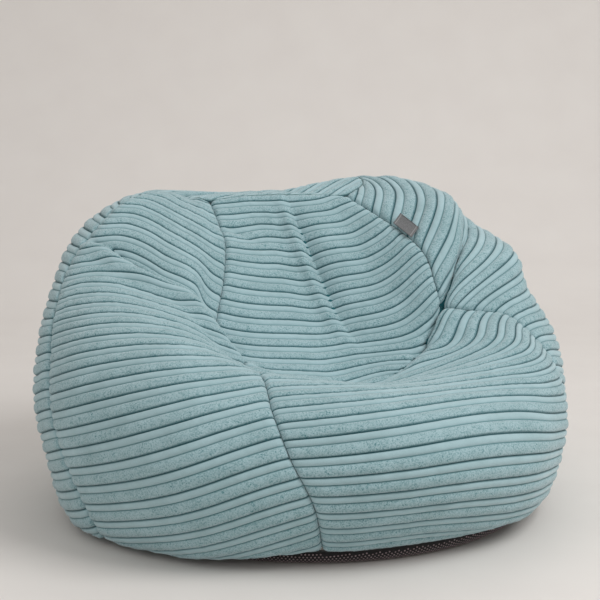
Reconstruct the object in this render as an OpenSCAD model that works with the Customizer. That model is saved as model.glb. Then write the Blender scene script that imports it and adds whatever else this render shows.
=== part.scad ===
/* [Chair] */
// Overall width, left to right, of the slumped bag
chair_w = 728; // [600:1:900]
// Overall height, from the floor to the top of the backrest
chair_h = 427; // [360:1:520]

/* [Cord cover] */
// Thickness of the cord fabric with its pile
cord_t = 4; // [3:0.5:4.5]
// Width of the gap that a seam leaves between two panels
seam_gap = 3.2; // [3:0.1:3.6]
// Radius of the twisted seam thread
thread_r = 0.6; // [0.5:0.1:0.7]
// How far the foot of the left seam leans to the front, in lines of the net
seam_lean = 2; // [0:0.1:2]

/* [Base] */
// Thickness of the non-slip base fabric
base_t = 2.5; // [1.5:0.5:3]
// Height at which the base meets the cord panels
base_rise = 17.5; // [15:0.5:18]
// Distance of the cover zip behind the middle of the base
cover_zip_y = 80; // [40:5:110]

/* [Zips] */
// Length of the row of teeth on each zip
zip_len = 400; // [300:10:420]
// Distance from one tooth to the next
tooth_pitch = 4; // [3:0.5:6]
// Width of one zip tape
tape_w = 18; // [16:1:22]

/* [Liner] */
// Thickness of the liner fabric
liner_t = 0.8; // [0.6:0.1:1]
// Depth of the liner under the face of the cord
liner_depth = 6.5; // [6:0.5:7]
// Place of the liner zip, in front of the middle of the base
liner_zip_y = -40; // [-80:5:-20]

/* [Filling] */
// Depth of the beads under the face of the cord
fill_depth = 13; // [12.5:0.5:14]

/* [Labels] */
// Length of the tag in the right seam
tag_l = 40; // [24:1:44]
// Width of the tag in the right seam
tag_w = 19; // [12:1:22]
// Length of the care label in the back seam
care_l = 48; // [30:1:60]
// Width of the care label in the back seam
care_w = 26; // [20:1:34]

/* [Hidden] */

// The skin of the slumped bag is a smooth sheet through this net of points. Each row of the net
// is a line up the bag, from the base ring to the crown ring, and the rows go round it from the
// front seam by the right side, the back and the left side.
NET = [
    [[13, -311, 18], [14, -325, 30], [4, -352, 85], [-22, -354, 142], [-42, -322, 190],
     [-57, -240, 217], [-92, -135, 205], [-123, -60, 235], [-118, 30, 300], [-122, 98, 348],
     [-150, 172, 397]],
    [[118, -287, 18], [125, -310, 44], [135, -338, 95], [132, -342, 145], [100, -310, 187],
     [28, -226, 203], [10, -120, 176], [-12, -30, 208], [-40, 50, 270], [-65, 120, 338], [-100, 185, 402]],
    [[220, -220, 18], [240, -240, 34], [258, -258, 92], [258, -255, 145], [232, -218, 186],
     [125, -165, 190], [72, -85, 168], [45, -10, 202], [22, 55, 254], [-3, 118, 326], [-32, 190, 404]],
    [[287, -118, 18], [299, -150, 32], [307, -179, 92], [312, -176, 144], [303, -133, 190],
     [275, -94, 215], [222, -60, 216], [152, -20, 210], [112, 52, 272], [88, 118, 340], [18, 192, 406]],
    [[311, 11, 18], [326, -26, 33], [332, -94, 94], [337, -90, 147], [326, -53, 200], [280, 3, 248],
     [236, 10, 257], [186, 14, 262], [164, 70, 325], [124, 128, 361], [54, 192, 406]],
    [[270, 154, 18], [298, 144, 44], [336, 108, 103], [346, 102, 166], [339, 96, 226], [312, 98, 280],
     [293, 100, 328], [226, 94, 338], [202, 128, 376], [160, 175, 400], [80, 225, 418]],
    [[156, 269, 18], [180, 286, 48], [202, 314, 110], [218, 330, 180], [222, 332, 240], [218, 320, 296],
     [216, 295, 342], [195, 265, 382], [168, 245, 410], [130, 240, 426], [70, 268, 426]],
    [[0, 311, 18], [0, 330, 48], [0, 358, 112], [0, 370, 180], [0, 368, 240], [0, 355, 290],
     [2, 340, 328], [5, 328, 356], [8, 320, 378], [10, 313, 394], [10, 305, 405]],
    [[-156, 269, 18], [-175, 288, 48], [-195, 315, 112], [-208, 330, 180], [-210, 332, 240],
     [-202, 326, 288], [-182, 322, 322], [-155, 324, 350], [-125, 324, 374], [-98, 318, 391],
     [-75, 306, 401]],
    [[-274, 146, 18], [-300, 138, 40], [-342, 100, 100], [-360, 100, 168], [-363, 112, 234],
     [-354, 130, 290], [-339, 154, 336], [-310, 183, 371], [-255, 233, 397], [-193, 275, 402],
     [-152, 280, 398]],
    [[-311, -9, 18], [-334, -42, 20], [-342, -112, 80], [-360, -103, 156], [-359, -74, 226],
     [-346, -26, 281], [-332, 25, 325], [-303, 69, 367], [-273, 118, 398], [-232, 188, 408],
     [-188, 240, 394]],
    [[-283, -129, 18], [-308, -162, 12], [-322, -185, 76], [-334, -181, 158], [-322, -150, 228],
     [-304, -86, 283], [-279, -14, 319], [-260, 48, 362], [-241, 104, 391], [-211, 165, 404],
     [-190, 212, 398]],
    [[-220, -220, 18], [-254, -241, 11], [-270, -260, 75], [-276, -262, 155], [-269, -225, 225],
     [-246, -148, 274], [-208, -55, 292], [-209, 20, 337], [-202, 85, 368], [-189, 140, 391],
     [-181, 192, 397]],
    [[-118, -287, 18], [-126, -314, 13], [-142, -348, 75], [-152, -348, 145], [-156, -308, 208],
     [-156, -232, 247], [-154, -85, 265], [-158, -10, 305], [-156, 50, 338], [-157, 108, 370],
     [-168, 180, 400]]
];
NET_W = 728;    // width of the net as listed
NET_H = 427;    // height of the net as listed
LINES = len(NET);
TOP = len(NET[0]) - 1;

// Lines of the net on which the four long seams run
FRONT = 0;
RIGHT = 4;
BACK = 7;
LEFT = 10;
lean_rows = 5;                      // rows over which the left seam leans, from row 1 up

// How finely the panels are cut: steps up a panel, and steps across one line of the net
STEPS_UP = 26;
STEPS_LINE = 4;

sx = chair_w / NET_W;
sz = chair_h / NET_H;
half_gap = seam_gap / 2;
thread_back = 2.4 * half_gap;      // how far a long seam's thread stops before the two rings
mitre = 2.6;                       // how far the inner face of a panel stays back at its edges
base_r = 311 * sx;                 // radius of the base ring
rim_r = base_r - half_gap - 2.2;   // outer edge of the base fabric
base_flat_r = rim_r - base_rise - 0.5;   // the base lies flat inside this radius
crown_mid = [-62 * sx, 240 * sx, 394 * sz];
crown_dome = 6;
crown_sink = 1.3;                  // how much more a deeper cap sinks at its middle than its depth
cap_back = 1.6 * half_gap;         // how far the crown cap's edge stays back from the crown ring
cap_mitre = 5.5;                   // how much further its inner face stays back
liner_z = 8;                       // height of the liner's floor
liner_rise = 14.5;
liner_rim_r = base_r - 7;
liner_flat_r = liner_rim_r - 25;
liner_gap = 0.8;                   // how far the liner's panels and top stay back at their seams
liner_mitre = 0.4;                 // how much further a panel's inner face stays back
liner_over_rim = 0.4;              // height of the panels' lower edge over the rim of the liner's base
liner_past_rim = 0.6 + liner_gap;  // and its distance outside that rim
liner_cap_mitre = 1.2;
fill_z = 14.5;                     // height of the floor of the beads
fill_shoulder_z = 25;              // height at which the beads reach the panels
slot_half = 13;                    // half the width of the opening that a zip closes
slot_half_len = zip_len / 2 + 6;
tape_t = 0.6;
tooth_gap = 0.8;                   // from the middle of the zip to the tips of its teeth
tooth = [1.6, 3.4, 2];
slider_l = 11;
slider_plate = 1;
slider_play = 0.3;
label_lift = 2.4;                  // height of a label over the skin at its seam
tag_place = 8.5;                   // height on the net at which the tag starts
tag_flare = 3;                     // how far its free edge stands out
tag_thick = 1.2;
care_place = 1.05;                 // height on the net at which the care label starts
care_thick = 0.6;

$fn = 48;

// ---- the skin ----

// A smooth curve through b and c, with a and d as the points before and after them
function curve(a, b, c, d, f) =
    0.5 * (2 * b + (c - a) * f + (2 * a - 5 * b + 4 * c - d) * f * f
    + (3 * b - a - 3 * c + d) * f * f * f);

// The point at height t on one line of the net
function on_line(k, t) =
    let (i = min(max(floor(t), 0), TOP - 1))
    let (line = NET[(k + LINES) % LINES])
    let (b = line[i])
    let (c = line[i + 1])
    let (a = i > 0 ? line[i - 1] : 2 * b - c)
    let (d = i < TOP - 1 ? line[i + 2] : 2 * c - b)
    curve(a, b, c, d, t - i);

// Where the net is read for a point, so that the left seam's foot leans to the front
function leaned(u, t) =
    let (v = u - LINES * floor(u / LINES))
    let (share = v < LEFT ? max(0, (v - BACK) / (LEFT - BACK)) : (LINES - v) / (LINES - LEFT))
    let (rise = max(0, min(1, (t - 1) / lean_rows)))
    u + seam_lean * share * (1 - rise * rise * (3 - 2 * rise));

function skin(u, t) =
    let (v = leaned(u, t))
    let (k = floor(v))
    let (p = curve(on_line(k - 1, t), on_line(k, t), on_line(k + 1, t), on_line(k + 2, t), v - k))
    [p[0] * sx, p[1] * sx, p[2] * sz];

function across(u, t) = (skin(u + 0.02, t) - skin(u - 0.02, t)) / 0.04;
function up(u, t) = (skin(u, t + 0.02) - skin(u, t - 0.02)) / 0.04;
function unit(v) = v / norm(v);
function outward(u, t) = unit(cross(across(u, t), up(u, t)));

// A point at a depth under the skin. Near the crown it also sinks, to stay under the cap.
function under(u, t, depth) =
    let (sink = depth * pow(max(0, min(1, (t - 8.5) / 1.5)), 2))
    skin(u, t) - depth * outward(u, t) - [0, 0, sink];

// Rows of points under the skin, between two lines of the net, with each edge kept back
function sheet(u0, u1, depth, back) =
    let (n = (u1 - u0) * STEPS_LINE)
    [for (j = [0:STEPS_UP]) [for (i = [0:n])
        let (f = i / n)
        let (um = u0 + (u1 - u0) * f)
        let (tb = TOP * j / STEPS_UP)
        let (t = tb + (1 - 2 * j / STEPS_UP) * back / norm(up(um, tb)))
        let (ua = u0 + back / norm(across(u0 + 0.02, t)))
        let (ub = u1 - back / norm(across(u1 - 0.02, t)))
        let (u = ua + (ub - ua) * f)
        depth == 0 ? skin(u, t) : under(u, t, depth)]];

// A closed sheet of fabric between two grids of points of the same size
module fabric(outer, inner) {
    nu = len(outer[0]);
    nt = len(outer);
    half = nu * nt;
    points = [for (grid = [outer, inner]) for (row = grid) for (p = row) p];
    outside = [for (j = [0:nt - 2]) for (i = [0:nu - 2])
        let (a = j * nu + i)
        for (f = [[a, a + nu, a + 1], [a + 1, a + nu, a + nu + 1]]) f];
    inside = [for (f = outside) [f[0] + half, f[2] + half, f[1] + half]];
    low = [for (i = [0:nu - 1]) i];
    right = [for (j = [1:nt - 1]) j * nu + nu - 1];
    top = [for (i = [nu - 2:-1:0]) (nt - 1) * nu + i];
    left = [for (j = [nt - 2:-1:1]) j * nu];
    edge = concat(low, right, top, left);
    n = len(edge);
    rim = [for (i = [0:n - 1])
        let (a = edge[i])
        let (b = edge[(i + 1) % n])
        for (f = [[a, b, a + half], [b, b + half, a + half]]) f];
    polyhedron(points, concat(outside, inside, rim), convexity = 10);
}

// A closed solid through rings of points, from the lowest ring to the highest
module rings(loops, low_point, high_point) {
    n = len(loops[0]);
    last = len(loops) - 1;
    points = concat([for (ring = loops) for (p = ring) p], [low_point, high_point]);
    low = len(points) - 2;
    sides = [for (j = [0:last - 1]) for (i = [0:n - 1])
        let (a = j * n + i)
        let (b = j * n + (i + 1) % n)
        for (f = [[a, a + n, b], [b, a + n, b + n]]) f];
    floor_faces = [for (i = [0:n - 1]) [low, i, (i + 1) % n]];
    top_faces = [for (i = [0:n - 1]) [low + 1, last * n + (i + 1) % n, last * n + i]];
    polyhedron(points, concat(sides, floor_faces, top_faces), convexity = 10);
}

module cord_panel(u0, u1) {
    color("#8fb3b3") fabric(sheet(u0, u1, 0, half_gap), sheet(u0, u1, cord_t, half_gap + mitre));
}

module front_left_panel() cord_panel(LEFT, LINES);
module front_right_panel() cord_panel(FRONT, RIGHT);
module back_right_panel() cord_panel(RIGHT, BACK);
module back_left_panel() cord_panel(BACK, LEFT);

// ---- the crown: an oval cap that closes the four panels ----

crown_n = LINES * STEPS_LINE;

function crown_ring(depth, back, f) = [for (i = [0:crown_n - 1])
    let (u = i / STEPS_LINE)
    let (edge = depth == 0 ? skin(u, TOP) : under(u, TOP, depth))
    let (mid = crown_mid - [0, 0, crown_sink * depth])
    let (g = f + (1 - f) * back / norm(edge - mid))
    edge + (mid - edge) * g + [0, 0, crown_dome * sin(90 * g)]];

function crown_peak(depth) = crown_mid + [0, 0, crown_dome - crown_sink * depth];

// A cap from a depth under the skin, with its edge kept back from the crown ring
module cap(depth, back, thick, edge_mitre) {
    steps = [0, 0.35, 0.7];
    high = [for (f = steps) crown_ring(depth, back, f)];
    low = [for (j = [len(steps) - 1:-1:0])
        [for (p = crown_ring(depth, back + edge_mitre, steps[j])) p - [0, 0, thick]]];
    rings(concat(low, high), crown_peak(depth) - [0, 0, thick], crown_peak(depth));
}

module crown_cap() color("#86aaaa") cap(0, cap_back, cord_t, cap_mitre);

// ---- the base: a shallow dish in two halves, with the zip between them ----

// A round dish that lies flat and curls up at its rim
module dish(flat_r, rim, z, rise, thick) {
    run = rim - flat_r;
    bend = (run * run + rise * rise) / (2 * rise);
    turn = asin(run / bend);
    lower = [for (i = [0:8]) [flat_r + bend * sin(turn * i / 8), z + bend * (1 - cos(turn * i / 8))]];
    upper = [for (i = [8:-1:0])
        [flat_r + (bend - thick) * sin(turn * i / 8), z + bend - (bend - thick) * cos(turn * i / 8)]];
    rotate_extrude($fn = 96) polygon(concat([[0, z]], lower, upper, [[0, z + thick]]));
}

// One half of a dish: side is -1 for the front half and 1 for the rear half
module half_dish(flat_r, rim, z, rise, thick, zip_y, side) {
    reach = rim + 10;
    tall = rise + 3 * thick;
    join = 0.3;
    difference() {
        dish(flat_r, rim, z, rise, thick);
        translate([-reach, side > 0 ? -reach : zip_y - join, z - 1])
            cube([2 * reach, side > 0 ? reach + zip_y + join : reach - zip_y + join, tall + 2]);
        translate([-slot_half_len, zip_y - slot_half, z - 1])
            cube([2 * slot_half_len, 2 * slot_half, tall + 2]);
    }
}

module base_half(side) {
    color("#1d1f20") half_dish(base_flat_r, rim_r, 0, base_rise, base_t, cover_zip_y, side);
}

module base_front_half() base_half(-1);
module base_rear_half() base_half(1);

// ---- seam threads ----

// A round thread along points, each given with the direction that is outward there. A loop
// joins its last point to its first, and any other thread has flat ends.
module tube(path, outs, r, is_loop = false, sides = 6) {
    n = len(path);
    before = [for (j = [0:n - 1]) is_loop ? (j + n - 1) % n : max(j - 1, 0)];
    after = [for (j = [0:n - 1]) is_loop ? (j + 1) % n : min(j + 1, n - 1)];
    loops = [for (j = [0:n - 1])
        let (along = unit(path[after[j]] - path[before[j]]))
        let (side = unit(cross(along, outs[j])))
        let (lift = cross(side, along))
        [for (k = [0:sides - 1])
            path[j] + r * (cos(360 * k / sides) * side + sin(360 * k / sides) * lift)]];
    if (is_loop) {
        faces = [for (j = [0:n - 1]) for (i = [0:sides - 1])
            let (a = j * sides + i)
            let (b = j * sides + (i + 1) % sides)
            let (c = after[j] * sides + i)
            let (d = after[j] * sides + (i + 1) % sides)
            for (f = [[a, c, b], [b, c, d]]) f];
        polyhedron([for (ring = loops) for (p = ring) p], faces, convexity = 10);
    } else {
        rings(loops, path[0], path[n - 1]);
    }
}

module seam_thread(k) {
    rows = [for (j = [0:STEPS_UP])
        let (t = TOP * j / STEPS_UP)
        t + (1 - 2 * j / STEPS_UP) * thread_back / norm(up(k, t))];
    color("#5f8080") tube([for (t = rows) skin(k, t)], [for (t = rows) outward(k, t)], thread_r);
}

module front_seam_thread() seam_thread(FRONT);
module right_seam_thread() seam_thread(RIGHT);
module back_seam_thread() seam_thread(BACK);
module left_seam_thread() seam_thread(LEFT);

// A thread right round the bag, at height t on the net
module ring_thread(t, thread_color) {
    spots = [for (i = [0:LINES * STEPS_LINE - 1]) i / STEPS_LINE];
    color(thread_color)
        tube([for (u = spots) skin(u, t)], [for (u = spots) outward(u, t)], thread_r, is_loop = true);
}

module crown_seam_thread() ring_thread(TOP, "#5f8080");
module base_seam_thread() ring_thread(0, "#30383a");

// ---- zips: each one lies in the slot of a dish, on the fabric's upper face at height z ----

module zip_tape(zip_y, z, side, fabric_color) {
    near = tooth_gap + 0.4;
    beyond = 4;
    color(fabric_color)
        translate([-slot_half_len - beyond, side > 0 ? zip_y + near : zip_y - near - tape_w, z])
            cube([2 * (slot_half_len + beyond), tape_w, tape_t]);
}

module zip_teeth(zip_y, z, side, tooth_color) {
    count = floor(zip_len / tooth_pitch);
    stagger = side > 0 ? tooth_pitch / 2 : 0;
    color(tooth_color)
        for (i = [0:count - 1])
            translate([-zip_len / 2 + i * tooth_pitch + stagger,
                       side > 0 ? zip_y + tooth_gap : zip_y - tooth_gap - tooth[1], z + tape_t])
                cube(tooth);
}

// The slider holds both rows of teeth between its two plates, which a thin post joins
module zip_slider(zip_y, z, metal) {
    inner_w = 2 * (tooth_gap + tooth[1] + slider_play);
    wall = 1;
    w = inner_w + 2 * wall;
    teeth_top = z + tape_t + tooth[2];
    post_w = 0.8;
    color(metal) translate([-zip_len / 2 + 6, zip_y, 0]) {
        translate([0, -w / 2, z - slider_play - slider_plate]) cube([slider_l, w, slider_plate]);
        translate([0, -w / 2, teeth_top + slider_play]) cube([slider_l, w, slider_plate]);
        translate([slider_l / 2 - 1.5, -post_w / 2, z - slider_play - slider_plate])
            cube([3, post_w, teeth_top + 2 * slider_play + 2 * slider_plate - z]);
        for (side = [-1, 1])
            translate([0, side > 0 ? inner_w / 2 : -inner_w / 2 - wall, z + tape_t + slider_play])
                cube([slider_l, wall, tooth[2] + slider_plate]);
    }
}

// One bottom stop across both rows, and a top stop on each tape
module zip_stops(zip_y, z, metal) {
    stop_l = 3;
    color(metal) {
        translate([zip_len / 2 + 3, zip_y - 4, z + tape_t]) cube([stop_l, 8, tooth[2]]);
        for (side = [-1, 1])
            translate([-zip_len / 2 - 1 - stop_l, side > 0 ? zip_y + 1.6 : zip_y - 4.2, z + tape_t])
                cube([stop_l, 2.6, tooth[2]]);
    }
}

module cover_zip_tape_front() zip_tape(cover_zip_y, base_t, -1, "#202224");
module cover_zip_tape_rear() zip_tape(cover_zip_y, base_t, 1, "#202224");
module cover_zip_teeth_front() zip_teeth(cover_zip_y, base_t, -1, "#2b2d2f");
module cover_zip_teeth_rear() zip_teeth(cover_zip_y, base_t, 1, "#2b2d2f");
module cover_zip_slider() zip_slider(cover_zip_y, base_t, "#3a3c3e");
module cover_zip_stops() zip_stops(cover_zip_y, base_t, "#3a3c3e");

// A strip of fabric across the slot, which hides the slider when the zip is shut
module cover_zip_garage() {
    garage_l = 26;
    garage_t = 0.7;
    garage_z = 0.2;
    color("#1d1f20")
        translate([-slot_half_len, cover_zip_y - slot_half, garage_z])
            cube([garage_l, 2 * slot_half, garage_t]);
}

// ---- the liner that holds the beads ----

module liner_panel(u0, u1) {
    edge_r = liner_rim_r + liner_past_rim;
    edge_z = liner_z + liner_rise + liner_over_rim;
    ring = [for (depth = [0, liner_t]) [for (u = [u0:1 / STEPS_LINE:u1])
        let (a = unit([skin(u, 0)[0], skin(u, 0)[1], 0]))
        a * edge_r + [0, 0, edge_z + depth]]];
    outer = sheet(u0, u1, liner_depth, liner_gap);
    inner = sheet(u0, u1, liner_depth + liner_t, liner_gap + liner_mitre);
    outer_rows = concat([trim(ring[0], outer[0])], outer);
    inner_rows = concat([trim(ring[1], inner[0])], inner);
    color("#e9e7e0") fabric(outer_rows, inner_rows);
}

// The base ring's row of a liner panel, with its ends kept back as far as the row above it
function trim(ring, above) = [for (i = [0:len(ring) - 1])
    let (flat = [above[i][0], above[i][1], 0])
    unit(flat) * norm([ring[i][0], ring[i][1]]) + [0, 0, ring[i][2]]];

module liner_front_panel() liner_panel(LEFT, LINES + RIGHT);
module liner_back_panel() liner_panel(RIGHT, LEFT);
module liner_top() color("#e9e7e0") cap(liner_depth, liner_gap, liner_t, liner_cap_mitre);

module liner_base(side) {
    color("#e9e7e0")
        half_dish(liner_flat_r, liner_rim_r, liner_z, liner_rise, liner_t, liner_zip_y, side);
}

liner_top_z = liner_z + liner_t;

module liner_base_front() liner_base(-1);
module liner_base_rear() liner_base(1);
module liner_zip_tape_front() zip_tape(liner_zip_y, liner_top_z, -1, "#dddbd4");
module liner_zip_tape_rear() zip_tape(liner_zip_y, liner_top_z, 1, "#dddbd4");
module liner_zip_teeth_front() zip_teeth(liner_zip_y, liner_top_z, -1, "#d2d0c8");
module liner_zip_teeth_rear() zip_teeth(liner_zip_y, liner_top_z, 1, "#d2d0c8");
module liner_zip_slider() zip_slider(liner_zip_y, liner_top_z, "#b9bbbd");
module liner_zip_stops() zip_stops(liner_zip_y, liner_top_z, "#b9bbbd");

// ---- the beads, as the solid that they fill ----

module bead_fill() {
    per_line = 3;
    rows = 24;
    n = LINES * per_line;
    floor_r = liner_flat_r - 8;
    shoulder_r = liner_rim_r - 6;
    low = [for (ring = [[floor_r, fill_z], [shoulder_r, fill_shoulder_z]])
        [for (i = [0:n - 1])
            let (a = unit([skin(i / per_line, 0)[0], skin(i / per_line, 0)[1], 0]))
            a * ring[0] + [0, 0, ring[1]]]];
    body = [for (j = [0:rows])
        [for (i = [0:n - 1]) under(i / per_line, TOP * j / rows, fill_depth)]];
    color("#f4f4f2") rings(concat(low, body), [0, 0, fill_z], crown_peak(fill_depth));
}

// ---- labels ----

// A flat label sewn into a seam line, from height t up it, that stands over the next panel
module label(k, t, length, width, lift, flare, thick) {
    t1 = t + length / norm(up(k, t));
    side = unit(across(k, t) + across(k, t1));
    low = [for (s = [t, t1]) skin(k, s) + outward(k, s) * lift];
    far = [for (p = low) p + side * width + outward(k, t) * flare];
    face = [low[0], far[0], far[1], low[1]];
    top = [for (p = face) p + outward(k, t) * thick];
    fabric([[top[0], top[1]], [top[3], top[2]]], [[face[0], face[1]], [face[3], face[2]]]);
}

module brand_tag() color("#6d7477")
    label(RIGHT, tag_place, tag_l, tag_w, label_lift, tag_flare, tag_thick);
module care_label() color("#f2f1ec")
    label(BACK, care_place, care_w, care_l, label_lift, 0, care_thick);

front_left_panel();
front_right_panel();
back_right_panel();
back_left_panel();
crown_cap();
base_front_half();
base_rear_half();
front_seam_thread();
right_seam_thread();
back_seam_thread();
left_seam_thread();
crown_seam_thread();
base_seam_thread();
cover_zip_tape_front();
cover_zip_tape_rear();
cover_zip_teeth_front();
cover_zip_teeth_rear();
cover_zip_slider();
cover_zip_stops();
cover_zip_garage();
liner_front_panel();
liner_back_panel();
liner_top();
liner_base_front();
liner_base_rear();
liner_zip_tape_front();
liner_zip_tape_rear();
liner_zip_teeth_front();
liner_zip_teeth_rear();
liner_zip_slider();
liner_zip_stops();
bead_fill();
brand_tag();
care_label();
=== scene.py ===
"""Looks of the bean bag chair: jumbo cord cover, base, zips, liner, beads and labels."""

import math

import bpy
import numpy as np
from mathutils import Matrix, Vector
from mathutils.bvhtree import BVHTree


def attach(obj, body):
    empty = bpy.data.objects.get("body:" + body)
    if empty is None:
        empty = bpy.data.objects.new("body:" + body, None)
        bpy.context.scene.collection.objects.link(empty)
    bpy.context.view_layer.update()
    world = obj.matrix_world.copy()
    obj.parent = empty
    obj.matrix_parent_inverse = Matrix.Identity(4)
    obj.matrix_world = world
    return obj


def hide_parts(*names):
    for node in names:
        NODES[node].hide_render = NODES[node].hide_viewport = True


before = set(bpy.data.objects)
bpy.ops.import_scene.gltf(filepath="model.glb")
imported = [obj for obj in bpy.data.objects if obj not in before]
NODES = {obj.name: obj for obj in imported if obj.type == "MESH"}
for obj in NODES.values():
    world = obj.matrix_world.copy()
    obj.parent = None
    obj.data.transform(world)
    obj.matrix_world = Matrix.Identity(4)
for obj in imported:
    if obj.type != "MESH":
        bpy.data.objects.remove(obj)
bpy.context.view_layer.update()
MM = 0.001

# ---- sizes, in metres ----

PERIOD = 0.025          # one wide wale, one narrow wale and the two grooves beside them
SPLIT = 0.60            # share of the period that the wide wale takes
WALE_H = 0.0046         # depth of the groove under a wide wale
CORD_T = 0.0035         # thickness of the cord under its wales
SEAM_DIP = 0.0040       # how far a seam lies under the fabric beside it
SEAM_DIP_W = 0.0026     # and how wide that dip is
SEAM_SAG = 0.0028       # a shallower, wider dip beside the seam
SEAM_SAG_W = 0.014
SEAM_FADE = 0.0042      # a wale rises to its full height this far from a seam
RIM_FADE = 0.005        # and this far from an end ring
RIM_DIP = 0.003         # how far the cord sinks at an end ring
RIM_DIP_W = 0.004
RIM_WALE = 0.12         # share of a wale's height that is left at a seam or an end ring
LINER_DEPTH = 0.0085    # how far the liner lies under the skin
LINER_T = 0.0008
FILL_DEPTH = 0.0115     # how far the beads lie under the skin
THREAD_R = 0.00034
THREAD_SUNK = 0.0006    # how far a thread lies under the seam's dip
DOT_PITCH = 0.0046
DOT_R = 0.0013
DOT_PROUD = 0.0005
DOT_SUNK = 0.0002
DOT_MARGIN = 0.003      # how far the dots stay from an edge of the fabric
DOT_OFF = 0.0012        # a spot further than this from the fabric is off it
BASE_FLAT_R = 0.2892    # the base fabric lies flat inside this radius
BASE_CURL = 0.0177      # radius of the curl at its edge
CROWN_MID = np.array([-0.062, 0.240, 0.394])
CROWN_DOME = 0.006
CROWN_TURN = math.radians(52)
FLOOR_Z = -0.0006       # the grip dots stand this far under the base fabric

# ---- the net of the skin, in millimetres, as in the design: one row up the bag for each line ----

NET = np.array([
    [[13, -311, 18], [14, -325, 30], [4, -352, 85], [-22, -354, 142], [-42, -322, 190], [-57, -240, 217],
     [-92, -135, 205], [-123, -60, 235], [-118, 30, 300], [-122, 98, 348], [-150, 172, 397]],
    [[118, -287, 18], [125, -310, 44], [135, -338, 95], [132, -342, 145], [100, -310, 187], [28, -226, 203],
     [10, -120, 176], [-12, -30, 208], [-40, 50, 270], [-65, 120, 338], [-100, 185, 402]],
    [[220, -220, 18], [240, -240, 34], [258, -258, 92], [258, -255, 145], [232, -218, 186],
     [125, -165, 190], [72, -85, 168], [45, -10, 202], [22, 55, 254], [-3, 118, 326], [-32, 190, 404]],
    [[287, -118, 18], [299, -150, 32], [307, -179, 92], [312, -176, 144], [303, -133, 190], [275, -94, 215],
     [222, -60, 216], [152, -20, 210], [112, 52, 272], [88, 118, 340], [18, 192, 406]],
    [[311, 11, 18], [326, -26, 33], [332, -94, 94], [337, -90, 147], [326, -53, 200], [280, 3, 248],
     [236, 10, 257], [186, 14, 262], [164, 70, 325], [124, 128, 361], [54, 192, 406]],
    [[270, 154, 18], [298, 144, 44], [336, 108, 103], [346, 102, 166], [339, 96, 226], [312, 98, 280],
     [293, 100, 328], [226, 94, 338], [202, 128, 376], [160, 175, 400], [80, 225, 418]],
    [[156, 269, 18], [180, 286, 48], [202, 314, 110], [218, 330, 180], [222, 332, 240], [218, 320, 296],
     [216, 295, 342], [195, 265, 382], [168, 245, 410], [130, 240, 426], [70, 268, 426]],
    [[0, 311, 18], [0, 330, 48], [0, 358, 112], [0, 370, 180], [0, 368, 240], [0, 355, 290],
     [2, 340, 328], [5, 328, 356], [8, 320, 378], [10, 313, 394], [10, 305, 405]],
    [[-156, 269, 18], [-175, 288, 48], [-195, 315, 112], [-208, 330, 180], [-210, 332, 240],
     [-202, 326, 288], [-182, 322, 322], [-155, 324, 350], [-125, 324, 374], [-98, 318, 391],
     [-75, 306, 401]],
    [[-274, 146, 18], [-300, 138, 40], [-342, 100, 100], [-360, 100, 168], [-363, 112, 234],
     [-354, 130, 290], [-339, 154, 336], [-310, 183, 371], [-255, 233, 397], [-193, 275, 402],
     [-152, 280, 398]],
    [[-311, -9, 18], [-334, -42, 20], [-342, -112, 80], [-360, -103, 156], [-359, -74, 226],
     [-346, -26, 281], [-332, 25, 325], [-303, 69, 367], [-273, 118, 398], [-232, 188, 408],
     [-188, 240, 394]],
    [[-283, -129, 18], [-308, -162, 12], [-322, -185, 76], [-334, -181, 158], [-322, -150, 228],
     [-304, -86, 283], [-279, -14, 319], [-260, 48, 362], [-241, 104, 391], [-211, 165, 404],
     [-190, 212, 398]],
    [[-220, -220, 18], [-254, -241, 11], [-270, -260, 75], [-276, -262, 155], [-269, -225, 225],
     [-246, -148, 274], [-208, -55, 292], [-209, 20, 337], [-202, 85, 368], [-189, 140, 391],
     [-181, 192, 397]],
    [[-118, -287, 18], [-126, -314, 13], [-142, -348, 75], [-152, -348, 145], [-156, -308, 208],
     [-156, -232, 247], [-154, -85, 265], [-158, -10, 305], [-156, 50, 338], [-157, 108, 370],
     [-168, 180, 400]],
], float) * MM
LINES = 14
TOP = 10
FRONT, RIGHT, BACK, LEFT = 0, 4, 7, 10

# Direction of the wales on each cord panel, in degrees above the line round the bag. A row is one
# line of the net, and its numbers go from the base ring to the crown ring.
PANELS = {
    "front_left_panel": (10, [10, 11, 12, 13, 14], [
        [8, 12, 15, 17, 19, 20, 14, 3, 5, 10, 10],
        [10, 14, 17, 20, 23, 34, 29, 8, 12, 10, 10],
        [10, 13, 17, 21, 26, 52, 0, -10, 9, 26, 20],
        [10, 16, 17, 18, 33, 60, 25, 22, 18, 24, 10],
        [5, 9, 8, 11, 25, 50, 32, 34, 26, 25, 20]]),
    "front_right_panel": (0, [0, 1, 2, 3, 4], [
        [-20, -11, -4, 2, 12, 30, 10, 4, 8, -5, -10],
        [-15, -6, 1, 4, 5, 20, 5, 5, 17, 12, 0],
        [-8, -3, 2, 0, -2, -5, 0, 8, 8, -5, 5],
        [-12, -9, -7, -4, -12, -24, -13, 15, -3, 5, 30],
        [-14, -12, -12, -14, -18, -24, -26, -30, -25, -5, 20]]),
    "back_right_panel": (4, [4, 5, 6, 7], [
        [-15, -20, -22, -25, -30, -28, -26, 0, 12, 22, 28],
        [-5, -5, -10, -15, -20, -18, -15, -5, 8, 12, 8],
        [0] * 11,
        [0] * 11]),
    "back_left_panel": (7, [7, 8, 9, 10], [
        [0] * 11,
        [5, 5, 5, 5, 4, 2, 0, 0, 0, 0, 0],
        [14, 14, 14, 13, 10, 5, 2, 0, 2, 2, -5],
        [18, 18, 18, 18, 16, 11, 8, 5, 5, 5, 0]]),
}

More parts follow.
